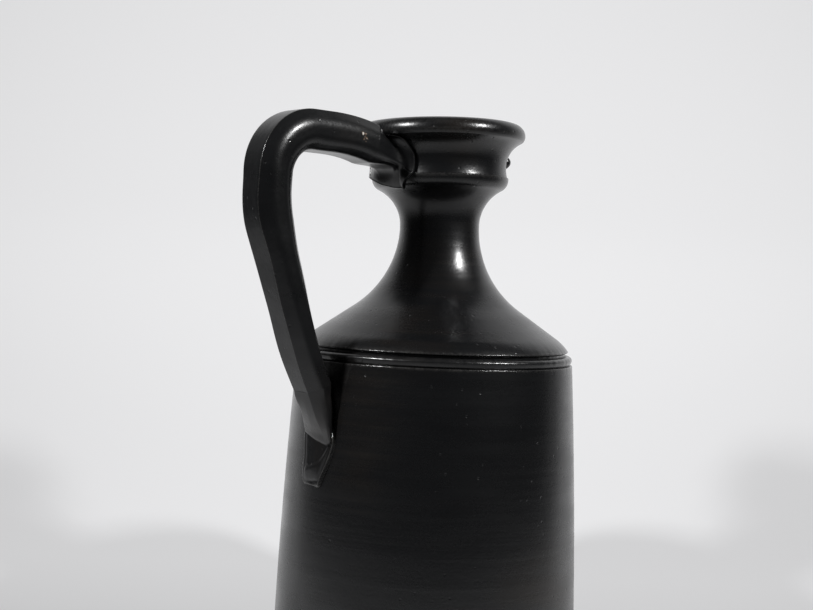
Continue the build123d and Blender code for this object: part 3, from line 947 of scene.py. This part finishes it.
def above_waist(near, far):
    """Angles and heights of corners given as degrees from the handle's side and millimetres up."""
    degrees, rise = np.vstack([near, far]).T
    return np.radians(degrees), rise + waist_height


ear_angles, ear_levels = above_waist(near_ear, far_ear)
ear_flat = np.stack([ear_angles * unroll_radius, ear_levels, 0 * ear_angles], axis=-1)
ear_outline = rounded(ear_flat[None], ear_radii)[0]
ear_middle = ear_outline.mean(axis=0)


def ear_ring(share, lift):
    """The root's outline on the mouth, drawn in towards its middle by a share and lifted off the face."""
    flat = ear_middle + (ear_outline - ear_middle) * share
    return on_mouth(flat[:, 0] / unroll_radius, flat[:, 1], lift)


def with_middles(ring):
    """The bar's ring of eight corners drawn again with twelve: every other flat gets one in its middle."""
    tips = np.arange(8) * BLOCK + (CORNER_STEPS - 1) / 2
    middles = np.array([0, 2, 4, 6]) * BLOCK + CORNER_STEPS + (FLAT_STEPS - 1) / 2
    twelve = np.sort(np.append(tips, middles))
    places = np.arange(12) * BLOCK + (CORNER_STEPS - 1) / 2
    laps = np.repeat([-1, 0, 1], 12)
    new_places, old_places = np.tile(places, 3) + laps * 12 * BLOCK, np.tile(twelve, 3) + laps * 8 * BLOCK
    at = np.interp(np.arange(12 * BLOCK), new_places, old_places)
    low = np.floor(at).astype(int)
    share = (at - low)[:, None]
    return ring[low % len(ring)] * (1 - share) + ring[(low + 1) % len(ring)] * share


root_start, root_end = with_middles(bar_rings[0]), ear_ring(0.965, 1.7)
toward_mouth = np.array([bar_along[0, 0], 0, -bar_along[0, 1]])
root_flare = ear_ring(1.0, 1.7) - ear_ring(0.75, 2.2)
wrist_corners = on_mouth(*above_waist(near_wrist, far_wrist), wrist_lift)
root_wrist = rounded(wrist_corners[None], wrist_radii)[0]
before_start, after_end = root_start - toward_mouth * 12, root_end + root_flare * 3
root_keys = np.stack([before_start, root_start, root_wrist, root_end, after_end])
root_body = smooth_keys(root_keys, np.linspace(1, 3, ROOT_ROWS))
rim_lines = [(0.975, 2.0), (0.988, 2.2), (1.0, 2.1), (1.008, 1.8), (1.01, 1.3), (0.995, 0.5), (0.97, -0.3)]
back_lines = [(0.7, -0.9), (0.35, -0.9)]
root_edge = np.stack([ear_ring(share, lift) for share, lift in rim_lines + back_lines])
root_rings = np.concatenate([root_body, root_edge])
root = tube(root_rings)
# The rows of the root's rim are marked grey: some wear and a painted highlight line along the raised rim.
root_wear_and_sheen = np.zeros(root_rings.shape[:2])
root_wear_and_sheen[ROOT_ROWS : ROOT_ROWS + EDGE_ROWS] = 0.3
root_wear_and_sheen = np.append(root_wear_and_sheen.ravel(), [0, 0])
make_piece("handle_root", [root], "handle_gloss", {"wear_and_sheen": root_wear_and_sheen})

# %% [markdown]
# ## Lower end of the handle
# Where the bar comes down it was flattened to a tongue, and its clay was pressed out below into a pointed
# leaf with a raised rim. It could be sculpted, but a flat drawing is easier to change. So both are drawn
# flat, as spread round the wall, height and lift off it, and then wrapped onto the round wall.
# Each row of the tongue's numbers is one ring, from the bar's end down: its eight corners, and a ninth in
# the middle of the outer flat, because the tongue turns over to the far side there.

# %% Lower end: the tongue
def on_wall(spread, height, lift):
    """A place on the wall: spread round it towards the near side, height, and lift off its face."""
    radius = wall_radius(height)
    angle, out = spread / radius, radius + lift
    return np.stack([-out * np.cos(angle), -out * np.sin(angle), height + 0 * out], axis=-1)


seat_ring = bar_edges[-1]
seat_lift = np.hypot(seat_ring[:, 0], seat_ring[:, 1]) - wall_radius(seat_ring[:, 2])
seat_spread = np.arctan2(-seat_ring[:, 1], -seat_ring[:, 0]) * wall_radius(seat_ring[:, 2])
seat_key = np.stack([seat_spread, seat_ring[:, 2], seat_lift], axis=-1)
seat_key = np.vstack([seat_key, seat_key[[0, 7]].mean(axis=0)])
spreads = [
    [4.1, 8.3, 8.9, 5.0, -5.0, -8.9, -8.3, -4.1, 0.0],
    [4.2, 8.5, 9.0, 6.3, -6.3, -8.8, -8.2, -4.6, -0.2],
    [4.4, 8.7, 9.1, 6.4, -6.3, -9.2, -9.0, -7.2, -1.3],
    [4.7, 8.8, 9.1, 6.4, -6.2, -9.7, -9.7, -8.6, -1.9],
    [5.2, 8.5, 8.8, 6.2, -6.0, -9.6, -9.6, -8.9, -2.0],
    [5.0, 7.8, 8.0, 5.6, -5.6, -9.2, -9.2, -8.6, -2.0],
]
heights = [
    [119.0, 120.3, 121.5, 122.2, 122.2, 121.5, 120.3, 119.0, 119.0],
    [113.7, 115.0, 116.2, 117.0, 117.0, 116.2, 115.0, 113.5, 113.5],
    [109.0, 110.3, 111.5, 112.2, 112.2, 111.5, 110.3, 109.2, 109.0],
    [105.0, 106.2, 107.3, 108.0, 108.0, 107.6, 106.6, 106.0, 105.4],
    [100.9, 102.4, 103.4, 104.0, 104.6, 104.9, 104.6, 104.2, 102.3],
    [99.2, 100.6, 101.4, 102.0, 103.0, 103.6, 103.4, 103.0, 100.8],
]
lifts = [
    [10.7, 8.4, 4.4, 0.6, 0.6, 4.2, 8.0, 10.9, 10.8],
    [8.0, 6.7, 3.6, 0.0, 0.0, 2.2, 3.9, 7.2, 7.7],
    [5.3, 5.2, 3.1, -0.6, -0.6, 0.8, 2.4, 4.1, 4.8],
    [3.0, 4.0, 2.5, -1.0, -1.0, 0.0, 1.2, 2.3, 2.6],
    [1.5, 2.2, 1.2, -1.2, -1.2, -0.6, 0.4, 1.3, 1.4],
    [-0.9, -0.8, -1.0, -1.4, -1.4, -1.3, -1.1, -0.9, -0.9],
]
TONGUE_ROWS, tongue_soft = 64, 6.0
tongue_keys = np.concatenate([seat_key[None], np.stack([spreads, heights, lifts], axis=-1)])
tongue_flat = smooth_keys(tongue_keys, np.linspace(0, len(tongue_keys) - 1, TONGUE_ROWS))
tongue_radii = np.append(corner_radii[-1], tongue_soft)
tongue_flat = rounded(tongue_flat, np.broadcast_to(tongue_radii, tongue_flat.shape[:2]))
tongue_rings = on_wall(tongue_flat[..., 0], tongue_flat[..., 1], tongue_flat[..., 2])
tongue = tube(tongue_rings)
print("tongue", tongue_rings.shape)

# %% Lower end: the pressed leaf
leaf_corners = np.array([
    [8.0, 108, 0], [10.0, 102.3, 0], [8.6, 95.8, 0], [2.6, 82.0, 0],
    [-10.8, 81.7, 0], [-10.0, 94, 0], [-11.2, 103, 0], [-10.2, 108, 0],
])
leaf_radii = [[2.0, 6.0, 20.0, 1.0, 3.0, 20.0, 12.0, 2.0]]
leaf_outline = rounded(leaf_corners[None], leaf_radii)[0, :, :2]
leaf_middle = np.array([-1.0, 95.0])
leaf_foot, leaf_thick, leaf_tilt, leaf_sunk = 81.6, 1.2, 0.10, -0.9
hollow_level, hollow_depth = 92.0, 0.5
LEAF_ROWS = 56


def bead(gap):
    """A thin raised rim a little in from the edge, with a groove behind it."""
    return 1.3 * bell(gap, 0.70, 0.48) - 0.85 * bell(gap, 2.2, 0.9)


def to_outline(places):
    """Shortest way from each place to the straight pieces of the outline."""
    run = np.roll(leaf_outline, -1, axis=0) - leaf_outline
    offset = places[..., None, :] - leaf_outline
    share = np.clip((offset * run).sum(-1) / (run**2).sum(-1), 0, 1)
    return np.linalg.norm(offset - share[..., None] * run, axis=-1).min(axis=-1)


leaf_share = np.sin(np.linspace(0.02, 1, LEAF_ROWS) * np.pi / 2)[:, None, None]
leaf_places = leaf_middle + (leaf_outline - leaf_middle) * leaf_share
leaf_spread, leaf_height = leaf_places[..., 0], leaf_places[..., 1]
edge_gap = to_outline(leaf_places)
hollow_line = hollow_level + 0.44 * leaf_spread + 0.15 * np.clip(leaf_spread, 0, None) ** 2
hollow_share = np.clip((leaf_height - hollow_line + 1.0) / 3.0, 0, 1)
above_foot = leaf_height - leaf_foot
rim_share = np.clip((above_foot - 0.8) / 2.0, 0, 1) * (0.70 + 0.50 * np.tanh((leaf_spread + 2) / 3))
taper = 1 - (1 - np.clip(above_foot / 9, 0, 1)) ** 1.5 * np.clip((2.5 - leaf_spread) / 3, 0, 1)
leaf_lift = (leaf_thick - leaf_tilt * leaf_spread) * taper - hollow_depth * smooth_step(hollow_share)
leaf_lift = leaf_lift + bead(edge_gap) * rim_share
edge_wide = 0.5 + 1.3 * np.clip(-leaf_spread / 7, 0, 1)
leaf_lift = leaf_lift * np.sqrt(np.clip(edge_gap / edge_wide, 0, 1)) - 0.1
leaf_face = on_wall(leaf_spread, leaf_height, leaf_lift)
leaf_back = on_wall(leaf_spread, leaf_height, leaf_sunk)[::-1]
leaf = tube(np.concatenate([leaf_face, leaf_back]))
# The leaf's raised rim is marked strongly grey: rubbed wear and a painted highlight line along it.
rim_wear_and_sheen = 1.7 * bell(edge_gap, 0.6, 0.5)
end_wear_and_sheen = np.concatenate([np.zeros(len(tongue[0])), rim_wear_and_sheen.ravel(), 0 * rim_wear_and_sheen.ravel(), [0, 0]])
make_piece("handle_leaf", [tongue, leaf], "handle_gloss", {"wear_and_sheen": end_wear_and_sheen})

# %% [markdown]
# ## Pellet
# A small pellet of clay sits on the collar, on the side that pours. It could be a ball, but it was pressed
# on, so here its levels are circles about a seat on the collar's face, and they close above and below.

# %% Pellet on the collar
PELLET_ROWS, PELLET_AROUND = 31, 48
pellet_angle, pellet_level = np.radians(-29), ledge_height + 8.0
pellet_half, pellet_out, pellet_lift = 3.2, 2.8, 0.44
pellet_seat = collar_radius + pellet_lift
pellet_up = np.linspace(-1, 1, PELLET_ROWS + 2)[1:-1, None]
pellet_round = np.linspace(0, 2 * np.pi, PELLET_AROUND, endpoint=False)
pellet_wide = pellet_out * (1 - pellet_up**2) ** 0.75
pellet_points = on_wheel(
    pellet_seat + pellet_wide * np.cos(pellet_round),
    pellet_angle + pellet_wide * np.sin(pellet_round) / pellet_seat,
    pellet_level + pellet_half * pellet_up + 0 * pellet_round,
)
pellet = tube(pellet_points)
make_piece("mouth_pellet", [pellet], "black_gloss", {"wear_and_sheen": np.zeros(len(pellet[0]))})
